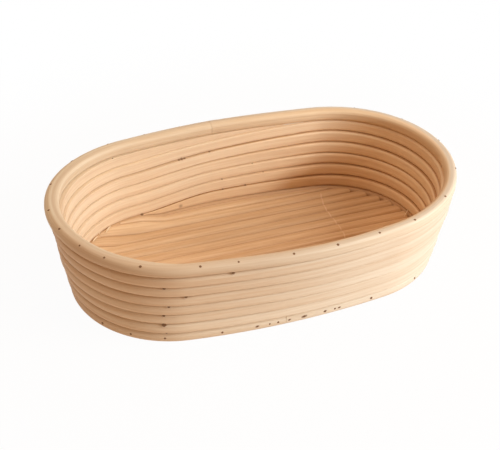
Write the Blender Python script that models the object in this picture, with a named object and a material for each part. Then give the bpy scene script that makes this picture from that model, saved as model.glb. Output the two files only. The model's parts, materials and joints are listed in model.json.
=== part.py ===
"""Oval proofing basket of rattan cane.

A base ring holds a floor of straight rods. One long cane is wound on the ring
six times to make the wall, and a thicker hoop is nailed on top of it.
Metres, +Z up, +X along the length. The basket stands on Z = 0.
"""
import math

import bmesh
import bpy
from mathutils import Matrix, Vector

MM = 0.001
UP = Vector((0.0, 0.0, 1.0))

# Base oval of four arcs, measured on the centre line of the base ring
BASE_LENGTH = 238.0 * MM
BASE_WIDTH = 132.0 * MM
SIDE_BOW = 4.0 * MM

# Canes: the round ones measured across their corners, the flattened rim cane across its sides
CANE = 8.05 * MM
ROD_CANE = 7.85 * MM
RIM_WIDTH = 8.8 * MM
RIM_THICKNESS = 7.8 * MM
CANE_SIDES = 10
RIM_SIDES = 12

# Wall coil
TURNS = 6
WALL_LEAN = math.radians(11.3)
TURN_GAP = 0.45 * MM
LOOP_POINTS = 56
COIL_START = -61.0 * MM
START_TAPER = 46.0 * MM
END_TAPER = 124.0 * MM
TAPER_TIP = 1.0 * MM
LEAD = 40.0 * MM

# Rim hoop and the joints where ring and hoop meet their own ends
RIM_STEP_OUT = 1.2 * MM
JOINT_GAP = 0.4 * MM
RING_JOINT_AT = 4.0 * MM
RIM_SCARF_AT = -6.0 * MM
RIM_SCARF_ANGLE = math.radians(55.0)

# Floor
ROD_GAP = 0.3 * MM
FLOOR_CLEARANCE = 0.3 * MM
ROD_END_TRIM = 2.0 * MM
PIN_DIAMETER = 1.6 * MM
PIN_CLEARANCE = 0.3 * MM
PIN_SPACING = 0.42 * BASE_LENGTH
PIN_INSET = 1.5 * MM

# Nails
NAIL_LENGTH = 12.0 * MM
NAIL_SHANK = 1.2 * MM
NAIL_HEAD = 2.4 * MM
NAIL_HEAD_THICKNESS = 0.5 * MM
NAIL_POINT = 1.6 * MM
NAIL_SEAT = 0.3 * MM
NAIL_CLEARANCE = 0.25 * MM
NAIL_SIDES = 8
RIM_NAIL_RISE = math.radians(55.0)

# Nails that the front shows, in thousandths of the loop from the middle of the front, + to the left
RIM_NAIL_SPOTS = (-165, -120, -81, -36, 8, 61, 97, 146, 178, 205, 235, 264, 302)
RING_NAIL_SPOTS = (-146, -89, -52, -47, -36, -13, 3, 15, 24, 37, 73, 129, 162, 194)

# Nails on the back: those of the rim stand on each side of the coil's thin end
BACK_RIM_NAILS = 4
BACK_RING_NAILS = 4

# Sizes that follow from the ones above
END_RADIUS = BASE_WIDTH / 2 - SIDE_BOW
REACH = BASE_LENGTH / 2 - END_RADIUS
DROP = (REACH ** 2 - SIDE_BOW ** 2) / (2 * SIDE_BOW)
SIDE_RADIUS = BASE_WIDTH / 2 + DROP
JOINT = math.atan2(DROP, REACH)
HALF_SIDE = (math.pi / 2 - JOINT) * SIDE_RADIUS
END_ARC = 2 * JOINT * END_RADIUS
LOOP = 2 * (2 * HALF_SIDE + END_ARC)
STEP = LOOP / LOOP_POINTS
TAPER_STEPS = round(END_TAPER / STEP)
TAPER_END = TAPER_STEPS * STEP
FLAT = CANE * math.cos(math.pi / CANE_SIDES)
RING_HEIGHT = FLAT / 2
COIL_BASE = FLAT + TURN_GAP
STACK = TURNS * (FLAT + TURN_GAP)
RIM_HEIGHT = COIL_BASE + STACK + RIM_THICKNESS / 2
ROD_HEIGHT = ROD_CANE * math.cos(math.pi / CANE_SIDES) / 2
FLOOR_INSET = CANE / 2 + FLOOR_CLEARANCE
FLOOR_WIDTH = BASE_WIDTH - 2 * FLOOR_INSET
ROD_COUNT = int((FLOOR_WIDTH + ROD_GAP) / (ROD_CANE + ROD_GAP))
ROD_PITCH = (FLOOR_WIDTH - ROD_CANE) / (ROD_COUNT - 1)


def clear_scene():
    """Remove what is in the file, so that a second run starts clean."""
    for old in list(bpy.data.objects):
        bpy.data.objects.remove(old, do_unlink=True)
    for old in list(bpy.data.collections):
        bpy.data.collections.remove(old)


def make_collection(name):
    """Add a collection to the scene."""
    collection = bpy.data.collections.new(name)
    bpy.context.scene.collection.children.link(collection)
    return collection


def make_material(name, colour, roughness, metallic=0.0):
    """Make a plain Principled BSDF material."""
    material = bpy.data.materials.new(name)
    material.use_nodes = True
    shader = material.node_tree.nodes["Principled BSDF"]
    shader.inputs["Base Color"].default_value = (*colour, 1.0)
    shader.inputs["Roughness"].default_value = roughness
    shader.inputs["Metallic"].default_value = metallic
    material.diffuse_color = (*colour, 1.0)
    return material


def add_object(name, shape, collection, material=None):
    """Turn a bmesh into a named object with outward normals."""
    bmesh.ops.recalc_face_normals(shape, faces=shape.faces)
    mesh = bpy.data.meshes.new(name)
    shape.to_mesh(mesh)
    shape.free()
    if material:
        mesh.materials.append(material)
    thing = bpy.data.objects.new(name, mesh)
    collection.objects.link(thing)
    return thing


def add_cutter(name, shape):
    """Make an object that only cuts others and is never rendered."""
    cutter = add_object(name, shape, cutters)
    cutter.display_type = "WIRE"
    cutter.hide_render = True
    return cutter


def cut(thing, cutter, operation="DIFFERENCE"):
    """Cut an object with a cutter."""
    boolean = thing.modifiers.new(cutter.name, "BOOLEAN")
    boolean.operation = operation
    boolean.solver = "EXACT"
    boolean.object = cutter


def oval_point(distance, offset=0.0):
    """Point and outward normal on the base oval, or on a copy of it set out by offset.

    Distance runs clockwise along the centre line of the base ring, seen from
    above, and is 0 at the middle of the back.
    """
    along = (distance + HALF_SIDE) % LOOP
    opposite = along >= LOOP / 2
    if opposite:
        along -= LOOP / 2
    if along < 2 * HALF_SIDE:
        angle = math.pi / 2 - (along - HALF_SIDE) / SIDE_RADIUS
        centre = Vector((0.0, -DROP, 0.0))
        radius = SIDE_RADIUS
    else:
        angle = JOINT - (along - 2 * HALF_SIDE) / END_RADIUS
        centre = Vector((REACH, 0.0, 0.0))
        radius = END_RADIUS
    normal = Vector((math.cos(angle), math.sin(angle), 0.0))
    point = centre + normal * (radius + offset)
    if opposite:
        return -point, -normal
    return point, normal


def oval_reach(across, inset):
    """Half length of the base oval, set in by inset, at a distance across its middle line."""
    if across < (END_RADIUS - inset) * math.sin(JOINT):
        return REACH + math.sqrt((END_RADIUS - inset) ** 2 - across ** 2)
    return math.sqrt(max((SIDE_RADIUS - inset) ** 2 - (across + DROP) ** 2, 0.0))


def side_reach(along, inset):
    """Half width of the base oval, set in by inset, at a distance along from its middle."""
    if along < (SIDE_RADIUS - inset) * math.cos(JOINT):
        return math.sqrt((SIDE_RADIUS - inset) ** 2 - along ** 2) - DROP
    return math.sqrt(max((END_RADIUS - inset) ** 2 - (along - REACH) ** 2, 0.0))


def wall_offset(height):
    """How far the leaning wall stands out from the base oval at a height."""
    return (height - RING_HEIGHT) * math.tan(WALL_LEAN)


RIM_OFFSET = wall_offset(COIL_BASE + STACK - TURN_GAP - FLAT / 2) + RIM_STEP_OUT


def section_points(section, sides):
    """Corners of one cane section, with a flat on top and one below."""
    centre, normal, half_width, half_height = section
    corners = []
    for index in range(sides):
        angle = -math.pi / 2 + (2 * index + 1) * math.pi / sides
        across = normal * (half_width * math.cos(angle))
        corners.append(centre + across + UP * (half_height * math.sin(angle)))
    return corners


def sweep(sections, sides, closed):
    """Skin cane sections into one closed tube."""
    shape = bmesh.new()
    rings = []
    for section in sections:
        rings.append([shape.verts.new(corner) for corner in section_points(section, sides)])
    if closed:
        pairs = list(zip(rings, rings[1:] + rings[:1]))
    else:
        pairs = list(zip(rings, rings[1:]))
        shape.faces.new(rings[0])
        shape.faces.new(rings[-1])
    for near, far in pairs:
        for index in range(sides):
            other = (index + 1) % sides
            shape.faces.new((near[index], near[other], far[other], far[index]))
    return shape


def hoop_sections(start, points, offset, height, half_width, half_height):
    """Sections of a level hoop that follows the oval."""
    sections = []
    for index in range(points):
        point, normal = oval_point(start + index * LOOP / points, offset)
        sections.append((point + UP * height, normal, half_width, half_height))
    return sections


def stack_at(along):
    """Canes that lie over the base ring, along the loop from where the coil starts.

    Gives the lift under the lowest cane, and the thickness of each from the
    bottom up. Over the coil's own start there is one cane more than elsewhere:
    the first grows from its tip, the last thins away under the rim, and those
    between are pressed closer.
    """
    tip_slot = TAPER_TIP + TURN_GAP
    if along <= TAPER_END:
        first = TAPER_TIP + (FLAT - TAPER_TIP) * min(1.0, along / START_TAPER)
        thickest = FLAT - tip_slot / TURNS
        last = thickest + (TAPER_TIP - thickest) * along / TAPER_END
        between = (STACK - first - last - (TURNS + 1) * TURN_GAP) / (TURNS - 1)
        return 0.0, [first] + [between] * (TURNS - 1) + [last]
    if along < TAPER_END + LEAD:
        spare = tip_slot * (1.0 - (along - TAPER_END) / LEAD)
        return 0.0, [FLAT] + [FLAT - spare / (TURNS - 1)] * (TURNS - 1)
    lift = tip_slot * max(0.0, 1.0 - (LOOP - along) / LEAD)
    return lift, [FLAT - lift / TURNS] * TURNS


def coil_section(loop, along):
    """One section of the wall cane, on a given loop and at a distance along it."""
    lift, canes = stack_at(along)
    thickness = canes[loop]
    below = COIL_BASE + lift + sum(canes[:loop]) + loop * TURN_GAP
    height = below + thickness / 2
    point, normal = oval_point(COIL_START + along, wall_offset(height))
    half_width = CANE / 2 * min(1.0, 0.5 + 0.6 * thickness / FLAT)
    half_height = thickness / 2 / math.cos(math.pi / CANE_SIDES)
    return point + UP * height, normal, half_width, half_height


def coil_sections():
    """Sections of the whole wall cane, from its tip on the ring to its tip under the rim."""
    sections = []
    for index in range(TURNS * LOOP_POINTS + TAPER_STEPS + 1):
        loop, station = divmod(index, LOOP_POINTS)
        sections.append(coil_section(loop, station * STEP))
    return sections


def edge_distance(point, start, end):
    """Distance from a point to an edge."""
    edge = end - start
    share = (point - start).dot(edge) / edge.length_squared
    return (point - start - edge * min(1.0, max(0.0, share))).length


def least_self_gap(sections):
    """Least gap between one loop of the coil and the next, measured on their corners."""
    least = LOOP
    for lower, upper in zip(sections, sections[LOOP_POINTS:]):
        low = section_points(lower, CANE_SIDES)
        high = section_points(upper, CANE_SIDES)
        for points, others in ((low, high), (high, low)):
            for point in points:
                for start, end in zip(others, others[1:] + others[:1]):
                    least = min(least, edge_distance(point, start, end))
    return least


def turned_to(direction, place):
    """Matrix that puts a shape's -Z axis along a direction, at a place."""
    turn = direction.to_track_quat("-Z", "Y").to_matrix().to_4x4()
    return Matrix.Translation(place) @ turn


def nail_shape():
    """A nail turned about Z, its head's underside at Z = 0 and its point down."""
    shape = bmesh.new()
    profile = (
        (0.0, NAIL_HEAD_THICKNESS),
        (NAIL_HEAD / 2, NAIL_HEAD_THICKNESS),
        (NAIL_HEAD / 2, 0.0),
        (NAIL_SHANK / 2, 0.0),
        (NAIL_SHANK / 2, NAIL_POINT - NAIL_LENGTH),
        (0.0, -NAIL_LENGTH),
    )
    corners = [shape.verts.new((radius, 0.0, height)) for radius, height in profile]
    edges = [shape.edges.new(pair) for pair in zip(corners, corners[1:])]
    bmesh.ops.spin(
        shape,
        geom=corners + edges,
        cent=(0.0, 0.0, 0.0),
        axis=UP,
        angle=2 * math.pi,
        steps=NAIL_SIDES,
        use_merge=True,
    )
    bmesh.ops.remove_doubles(shape, verts=shape.verts, dist=0.01 * MM)
    return shape


def add_rod(shape, diameter, length, matrix):
    """Add a round bar along Z, from Z = 0 down, to a shape."""
    bmesh.ops.create_cone(
        shape,
        cap_ends=True,
        segments=NAIL_SIDES,
        radius1=diameter / 2,
        radius2=diameter / 2,
        depth=length,
        matrix=matrix @ Matrix.Translation((0.0, 0.0, -length / 2)),
    )


def add_nails(stem, places):
    """Make a nail at each place, and the cutter for all their holes."""
    holes = bmesh.new()
    bore = NAIL_SHANK + 2 * NAIL_CLEARANCE
    above = NAIL_SEAT + NAIL_HEAD_THICKNESS
    for number, (place, direction) in enumerate(places, 1):
        nail = add_object(f"{stem}_{number:02d}", nail_shape(), basket, NAIL_STEEL)
        nail.matrix_world = turned_to(direction, place - direction * NAIL_SEAT)
        nail.parent = root
        start = turned_to(direction, place - direction * above)
        add_rod(holes, bore, NAIL_LENGTH + above, start)
    return add_cutter(f"{stem}_holes", holes)


def front_distances(spots):
    """Distances along the loop of the nails that the front shows."""
    return [LOOP / 2 + LOOP * spot / 1000 for spot in spots]


def spread_distances(start, end, count):
    """Distances of nails that share out a stretch of the loop."""
    gap = (end - start) / (count + 1)
    return [start + gap * (number + 1) for number in range(count)]


def rim_nail_places():
    """Nails through the hoop into the cane under it, with none where that cane is thin."""
    front = front_distances(RIM_NAIL_SPOTS)
    thin_start = COIL_START + TAPER_END / 2 + LOOP
    thin_end = COIL_START + TAPER_END + NAIL_HEAD
    right = spread_distances(thin_end, min(front), BACK_RIM_NAILS)
    left = spread_distances(max(front), thin_start, BACK_RIM_NAILS)
    places = []
    for distance in right + front + left:
        along = (distance - COIL_START) % LOOP
        top_loop = len(stack_at(along)[1]) - 1
        target = coil_section(top_loop, along)[0]
        point, normal = oval_point(distance, RIM_OFFSET)
        out = normal * (RIM_WIDTH / 2 * math.cos(RIM_NAIL_RISE))
        place = point + out + UP * (RIM_HEIGHT + RIM_THICKNESS / 2 * math.sin(RIM_NAIL_RISE))
        places.append((place, (target - place).normalized()))
    return places


def ring_nail_places():
    """Nails through the base ring, into the sides and the ends of the floor rods."""
    front = front_distances(RING_NAIL_SPOTS)
    back = spread_distances(max(front), min(front) + LOOP, BACK_RING_NAILS)
    places = []
    for distance in front + back:
        point, normal = oval_point(distance, CANE / 2)
        places.append((point + UP * RING_HEIGHT, -normal))
    return places


def joint_slab(distance, offset, height, cane, angle):
    """Thin slab across a cane, turned from square by an angle, that parts the cane's two ends."""
    shape = bmesh.new()
    point, normal = oval_point(distance, offset)
    turn = math.atan2(normal.y, normal.x) + angle
    place = Matrix.Translation(point + UP * height) @ Matrix.Rotation(turn, 4, "Z")
    size = Matrix.Diagonal((4 * cane, JOINT_GAP, 2 * cane, 1.0))
    bmesh.ops.create_cube(shape, size=1.0, matrix=place @ size)
    return shape


def floor_outline_shape():
    """Oval block that the floor rods are pared to."""
    shape = bmesh.new()
    foot = []
    for index in range(2 * LOOP_POINTS):
        point, _normal = oval_point(index * LOOP / (2 * LOOP_POINTS), -FLOOR_INSET)
        foot.append(shape.verts.new(point - UP * ROD_CANE))
    base = shape.faces.new(foot)
    raised = bmesh.ops.extrude_face_region(shape, geom=[base])
    corners = [item for item in raised["geom"] if isinstance(item, bmesh.types.BMVert)]
    bmesh.ops.translate(shape, verts=corners, vec=UP * (3 * ROD_CANE))
    return shape


def rod_shape(half_length):
    """A straight floor rod along X, with a flat on top and one below."""
    ends = (Vector((-half_length, 0.0, 0.0)), Vector((half_length, 0.0, 0.0)))
    side = Vector((0.0, 1.0, 0.0))
    return sweep([(end, side, ROD_CANE / 2, ROD_CANE / 2) for end in ends], CANE_SIDES, False)


def pin_matrix(side, half):
    """Place of a bar across the rods, on their middle height, from half across on one side."""
    place = Vector((side * PIN_SPACING / 2, half, ROD_HEIGHT))
    return turned_to(Vector((0.0, -1.0, 0.0)), place)


def build_floor(ring_holes):
    """Straight rods side by side, pared to the oval and threaded on two pins."""
    outline = add_cutter("floor_outline", floor_outline_shape())
    bores = bmesh.new()
    bore = PIN_DIAMETER + 2 * PIN_CLEARANCE
    half = side_reach(PIN_SPACING / 2, FLOOR_INSET)
    pin_half = half - PIN_INSET
    bore_half = half + PIN_INSET
    for number, side in enumerate((-1, 1), 1):
        shape = bmesh.new()
        add_rod(shape, PIN_DIAMETER, 2 * pin_half, Matrix.Identity(4))
        pin = add_object(f"floor_pin_{number:02d}", shape, basket, PIN_STEEL)
        pin.matrix_world = pin_matrix(side, pin_half)
        pin.parent = root
        add_rod(bores, bore, 2 * bore_half, pin_matrix(side, bore_half))
    pin_bores = add_cutter("floor_pin_bores", bores)
    for index in range(ROD_COUNT):
        across = (index - (ROD_COUNT - 1) / 2) * ROD_PITCH
        square_cut = max(0.0, abs(across) - ROD_END_TRIM)
        shape = rod_shape(oval_reach(square_cut, FLOOR_INSET))
        rod = add_object(f"floor_rod_{index + 1:02d}", shape, basket, FLOOR_CANE)
        rod.location = (0.0, across, ROD_HEIGHT)
        rod.parent = root
        cut(rod, outline, "INTERSECT")
        cut(rod, pin_bores)
        cut(rod, ring_holes)


def build_ring(holes):
    """Base ring: one cane bent round the floor until its ends meet at the front."""
    sections = hoop_sections(COIL_START, LOOP_POINTS, 0.0, RING_HEIGHT, CANE / 2, CANE / 2)
    ring = add_object("base_ring", sweep(sections, CANE_SIDES, True), basket, RING_CANE)
    ring.parent = root
    slab = joint_slab(LOOP / 2 + RING_JOINT_AT, 0.0, RING_HEIGHT, CANE, 0.0)
    cut(ring, add_cutter("ring_joint", slab))
    cut(ring, holes)


def build_coil(holes):
    """Wall coil: one unbroken cane wound on the ring."""
    sections = coil_sections()
    gap = least_self_gap(sections)
    print(f"wall_coil: {TURNS} turns, least gap to itself {gap / MM:.2f} mm")
    coil = add_object("wall_coil", sweep(sections, CANE_SIDES, False), basket, WALL_CANE)
    coil.parent = root
    cut(coil, holes)


def build_rim(holes):
    """Rim hoop: a thicker, flattened cane on top of the coil, its ends meeting in a slanted joint."""
    corner = RIM_THICKNESS / 2 / math.cos(math.pi / RIM_SIDES)
    sections = hoop_sections(0.0, LOOP_POINTS, RIM_OFFSET, RIM_HEIGHT, RIM_WIDTH / 2, corner)
    rim = add_object("rim_hoop", sweep(sections, RIM_SIDES, True), basket, RIM_HOOP_CANE)
    rim.parent = root
    slab = joint_slab(RIM_SCARF_AT, RIM_OFFSET, RIM_HEIGHT, RIM_WIDTH, RIM_SCARF_ANGLE)
    cut(rim, add_cutter("rim_scarf", slab))
    cut(rim, holes)


clear_scene()
basket = make_collection("proofing_basket")
cutters = make_collection("cutters")
root = bpy.data.objects.new("basket_origin", None)
basket.objects.link(root)

WALL_CANE = make_material("wall cane", (0.72, 0.47, 0.27), 0.6)
RING_CANE = make_material("ring cane", (0.70, 0.45, 0.25), 0.6)
RIM_HOOP_CANE = make_material("rim cane", (0.75, 0.52, 0.32), 0.55)
FLOOR_CANE = make_material("floor cane", (0.63, 0.37, 0.19), 0.65)
NAIL_STEEL = make_material("nail steel", (0.10, 0.07, 0.05), 0.5, 0.9)
PIN_STEEL = make_material("pin steel", (0.45, 0.44, 0.42), 0.35, 1.0)

rim_holes = add_nails("rim_nail", rim_nail_places())
ring_holes = add_nails("ring_nail", ring_nail_places())
build_floor(ring_holes)
build_ring(ring_holes)
build_coil(rim_holes)
build_rim(rim_holes)
print(f"proofing basket: {ROD_COUNT} floor rods, rim top at {(RIM_HEIGHT + RIM_THICKNESS / 2) / MM:.1f} mm")
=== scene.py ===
# %% [markdown]
# An oval proofing basket of rattan cane.
# Bread dough rises in such a basket: a floor of straight canes, a wall of one long cane wound
# six times round it, and a thicker hoop nailed on top.
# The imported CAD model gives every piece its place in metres, with the length along X and the
# basket standing on Z = 0. This lesson replaces its faceted canes by round ones with grain, and
# lights them as in a studio.

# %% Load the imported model
import json
import math
import random

import bmesh
import bpy
from mathutils import Matrix, Vector

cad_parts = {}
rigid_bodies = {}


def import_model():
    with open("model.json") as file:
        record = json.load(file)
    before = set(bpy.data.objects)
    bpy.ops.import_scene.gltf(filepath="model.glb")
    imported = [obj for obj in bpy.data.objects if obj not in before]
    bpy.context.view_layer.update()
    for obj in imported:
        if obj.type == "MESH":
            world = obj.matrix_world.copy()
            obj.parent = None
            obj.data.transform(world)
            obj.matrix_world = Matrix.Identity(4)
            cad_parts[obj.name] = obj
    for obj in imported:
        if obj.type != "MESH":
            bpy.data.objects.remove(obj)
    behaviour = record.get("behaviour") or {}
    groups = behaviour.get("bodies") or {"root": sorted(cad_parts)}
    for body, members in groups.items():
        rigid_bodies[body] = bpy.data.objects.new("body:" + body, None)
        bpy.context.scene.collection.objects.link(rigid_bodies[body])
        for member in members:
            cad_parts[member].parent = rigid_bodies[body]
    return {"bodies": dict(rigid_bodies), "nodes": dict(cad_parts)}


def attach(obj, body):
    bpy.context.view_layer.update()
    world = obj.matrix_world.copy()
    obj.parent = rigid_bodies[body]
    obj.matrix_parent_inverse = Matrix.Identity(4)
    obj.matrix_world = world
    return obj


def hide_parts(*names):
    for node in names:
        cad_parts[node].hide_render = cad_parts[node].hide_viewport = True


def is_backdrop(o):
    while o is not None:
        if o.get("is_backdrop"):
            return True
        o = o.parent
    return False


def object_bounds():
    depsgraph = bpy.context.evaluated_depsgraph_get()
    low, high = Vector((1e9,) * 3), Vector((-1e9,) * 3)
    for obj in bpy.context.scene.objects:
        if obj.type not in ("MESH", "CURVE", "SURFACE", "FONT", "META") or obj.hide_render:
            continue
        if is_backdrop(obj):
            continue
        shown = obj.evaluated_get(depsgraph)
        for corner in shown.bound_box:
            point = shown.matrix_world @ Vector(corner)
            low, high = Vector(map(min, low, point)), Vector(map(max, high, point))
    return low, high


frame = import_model()
cad_low, cad_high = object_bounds()
MM = 0.001
UP = Vector((0.0, 0.0, 1.0))
kept = set(frame["nodes"].values()) | set(frame["bodies"].values())
for spare in [thing for thing in bpy.data.objects if thing not in kept]:
    bpy.data.objects.remove(spare, do_unlink=True)
sides_mm = [round(side / MM, 1) for side in cad_high - cad_low]
print(f"frame: {len(frame['nodes'])} CAD nodes in a box of {sides_mm} mm")

# %% [markdown]
# The camera comes first, because every later choice is judged through it.
# Its angles could be guessed by eye. Here they were solved from the rim, the courses of the wall
# and the outline, so the lens has no shift and the picture's middle is the lens's middle.
# A roll of 0.7 degrees keeps the tilt of the original view.

# %% Camera at the photographed angle
IMAGE_WIDTH = 500
FOCAL_PIXELS = 1407.6
CAMERA_TARGET = Vector((-3.0, 0.0, 30.0)) * MM
CAMERA_DISTANCE = 917.2 * MM
azimuth = math.radians(-20.33)
elevation = math.radians(35.29)
roll = math.radians(0.70)

ground = Vector((math.sin(azimuth), -math.cos(azimuth), 0.0))
backward = ground * math.cos(elevation) + UP * math.sin(elevation)
level = Vector((math.cos(azimuth), math.sin(azimuth), 0.0))
rise = backward.cross(level)
sideways = level * math.cos(roll) + rise * math.sin(roll)
upward = rise * math.cos(roll) - level * math.sin(roll)

lens = bpy.data.cameras.new("photo_camera")
lens.sensor_fit = "HORIZONTAL"
lens.sensor_width = 36.0
lens.lens = FOCAL_PIXELS / IMAGE_WIDTH * lens.sensor_width
camera = bpy.data.objects.new("photo_camera", lens)
bpy.context.scene.collection.objects.link(camera)
turn = Matrix((sideways, upward, backward)).transposed().to_4x4()
camera.matrix_world = Matrix.Translation(CAMERA_TARGET + backward * CAMERA_DISTANCE) @ turn
bpy.context.scene.camera = camera
print(f"camera: {lens.lens:.1f} mm lens, {CAMERA_DISTANCE:.3f} m away")

# %% [markdown]
# Nodes are added so often that one helper pays off. It takes the kind of node, its settings, and
# what goes into its sockets, by name or by number: a value is set, and another node's output is
# linked.

# %% Helper that adds a shader node
def put(tree, kind, inputs=None, **settings):
    """Add a shader node with its settings, and set or link its inputs."""
    made = tree.nodes.new("ShaderNode" + kind)
    for name, value in settings.items():
        setattr(made, name, value)
    for name, value in (inputs or {}).items():
        if isinstance(value, bpy.types.NodeSocket):
            tree.links.new(value, made.inputs[name])
        else:
            made.inputs[name].default_value = value
    return made


print("helper: put adds a node")

# %% [markdown]
# Four jobs come up again and again in a finish: a sum, a fade while some value goes from one
# place to another, a blend of two colours, and a tint, which multiplies one colour by another.
# Each could be a call of put, but with a name of its own that gives the socket of the result,
# the finishes below read like recipes.

# %% Helpers for sums, fades, blends and tints
def work_out(tree, operation, *values, clamp=False):
    """Do a sum with up to three values."""
    done = put(tree, "Math", dict(enumerate(values)), operation=operation, use_clamp=clamp)
    return done.outputs[0]


def fade(tree, value, start, end, low=0.0, high=1.0, smooth=False):
    """Go from low to high while a value goes from start to end."""
    ends = {"Value": value, "From Min": start, "From Max": end, "To Min": low, "To Max": high}
    kind = "SMOOTHSTEP" if smooth else "LINEAR"
    return put(tree, "MapRange", ends, interpolation_type=kind).outputs[0]


def blended(tree, share, first, second, way="MIX"):
    """Blend two colours, each of them a socket or three numbers."""
    sides = [side if isinstance(side, bpy.types.NodeSocket) else (*side, 1.0)
             for side in (first, second)]
    mixed = put(tree, "Mix", {0: share, 6: sides[0], 7: sides[1]}, data_type="RGBA",
                blend_type=way)
    return mixed.outputs[2]


def tinted(tree, share, colour, by):
    """Multiply a colour by another, as far as the share says."""
    return blended(tree, share, colour, by, "MULTIPLY")


print("helpers: work_out, fade, blended, tinted")

# %% [markdown]
# The room is white. A bright world would light the basket from all sides and wash its grooves
# out, so the world is white only where it is seen and dim where it gives light. The light path
# tells the two apart.

# %% White world
SKY_LEVEL = 0.25
WHITE = (1.0, 1.0, 1.0)
WARM_FILL = (1.0, 0.565, 0.325)


def shown_directly(tree):
    """1 for rays that show a surface, in the picture or in a reflection, and 0 for its light."""
    path = put(tree, "LightPath").outputs
    seen = work_out(tree, "MAXIMUM", path["Is Camera Ray"], path["Is Glossy Ray"])
    return work_out(tree, "MAXIMUM", seen, path["Is Transmission Ray"])


bpy.context.scene.view_settings.view_transform = "Standard"
world = bpy.data.worlds.new("white_studio")
world.use_nodes = True
bpy.context.scene.world = world
sky = world.node_tree
direct = shown_directly(sky)
backdrop = sky.nodes["Background"].inputs
sky.links.new(blended(sky, direct, WARM_FILL, WHITE), backdrop["Color"])
sky.links.new(fade(sky, direct, 0.0, 1.0, SKY_LEVEL, 1.0), backdrop["Strength"])
print(f"world: white where it is seen, {SKY_LEVEL} as light")

# %% [markdown]
# The light on the basket comes from a soft box on the right, low enough that the right wall
# shades half of the floor, and from a wide one overhead. A sun lamp would draw hard shadows, and
# square area lamps give the soft ones of a studio.

# %% Soft boxes
BASKET_CENTRE = Vector((0.0, 0.0, 30.0)) * MM


def soft_box(name, direction, distance, size, strength, colour):
    """A square lamp aimed at the basket; strength 1 shows white paper, square to it, as white."""
    lamp = bpy.data.lights.new(name, "AREA")
    lamp.size = size
    lamp.energy = strength * math.pi ** 2 * distance ** 2
    lamp.color = colour
    stand = bpy.data.objects.new(name, lamp)
    bpy.context.scene.collection.objects.link(stand)
    aim = direction.normalized()
    facing = aim.to_track_quat("Z", "Y").to_matrix().to_4x4()
    stand.matrix_world = Matrix.Translation(BASKET_CENTRE + aim * distance) @ facing
    print(f"{name}: {lamp.energy:.1f} W")


soft_box("key_box", Vector((0.72, -0.50, 0.40)), 1.3, 0.70, 0.98, (0.965, 1.0, 1.0))
soft_box("top_box", Vector((-0.05, 0.10, 1.0)), 1.1, 1.40, 0.52, (1.0, 0.74, 0.53))

# %% [markdown]
# The ground is one large sheet, a hair below the basket so that the two never share a plane. It is
# part of the stage and not of the object.

# %% Ground sheet
GROUND_DROP = 0.1 * MM
GROUND_REACH = 3.0

sheet = bmesh.new()
bmesh.ops.create_grid(sheet, x_segments=2, y_segments=2, size=GROUND_REACH)
bmesh.ops.translate(sheet, verts=sheet.verts, vec=(0.0, 0.0, -GROUND_DROP))
ground_mesh = bpy.data.meshes.new("ground")
sheet.to_mesh(ground_mesh)
sheet.free()
ground_plane = bpy.data.objects.new("ground", ground_mesh)
bpy.context.scene.collection.objects.link(ground_plane)
ground_plane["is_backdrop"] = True
print(f"ground: one plane, {2 * GROUND_REACH:.0f} m wide")

# %% [markdown]
# The sheet is lit a little from below, like a light table. To the camera it is nearly all white
# glow, with a small share of true diffuse near the basket so that a faint shadow stays, and none
# under the floor canes, where it would shine through their gaps. To the basket it is white paper
# with a weaker glow, stronger on the lamp's side, which lifts the lower edge of each course.

# %% White paper with a faint shadow
PAPER_COLOUR = (0.93, 0.88, 0.80, 1.0)
SHADOW_SHARE = 0.04
SHADOW_ENDS = (170 * MM, 340 * MM)
FLOOR_SPINE = 57 * MM
FLOOR_EDGE = (61 * MM, 63 * MM)
TABLE_GLOW = (0.27, 0.60)
GLOW_ENDS = (-100 * MM, 200 * MM)

paper = bpy.data.materials.new("white ground")
paper.use_nodes = True
tree = paper.node_tree
tree.nodes.remove(tree.nodes["Principled BSDF"])
matt = put(tree, "BsdfDiffuse", {"Color": PAPER_COLOUR})
direct = shown_directly(tree)
glow = put(tree, "Emission", {"Color": blended(tree, direct, WARM_FILL, WHITE), "Strength": 1.0})
spot = put(tree, "TexCoord").outputs["Object"]
reach = put(tree, "VectorMath", {0: spot}, operation="LENGTH").outputs["Value"]
unshaded = fade(tree, reach, *SHADOW_ENDS, 1.0 - SHADOW_SHARE, 1.0, smooth=True)
across = put(tree, "SeparateXYZ", {0: spot}).outputs
past_spine = work_out(tree, "SUBTRACT", work_out(tree, "ABSOLUTE", across["X"]), FLOOR_SPINE,
                      clamp=True)
from_spine = put(tree, "CombineXYZ", {"X": past_spine, "Y": across["Y"]}).outputs[0]
away = put(tree, "VectorMath", {0: from_spine}, operation="LENGTH").outputs["Value"]
seen = work_out(tree, "MULTIPLY", unshaded, fade(tree, away, *FLOOR_EDGE))
lamp_side = fade(tree, across["X"], *GLOW_ENDS, *TABLE_GLOW)
glowing = fade(tree, direct, 0.0, 1.0, lamp_side, seen)
surface = put(tree, "MixShader", {0: glowing, 1: matt.outputs[0], 2: glow.outputs[0]})
tree.links.new(surface.outputs[0], tree.nodes["Material Output"].inputs["Surface"])
ground_mesh.materials.append(paper)
print(f"paper: {SHADOW_SHARE:.0%} of the shadow shows")

# %% [markdown]
# Rattan core is a bundle of fine fibres, so its surface has streaks that run along the cane,
# whichever way the cane is bent. A texture on plain object coordinates would cut straight across
# the bends. So each cane is made straight first, keeps those straight coordinates in an attribute
# named cane, and is bent afterwards. The grain reads the attribute: X along the cane, Y and Z
# across it, in metres.
# The grain is a node group, because all five cane finishes use it.

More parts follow.
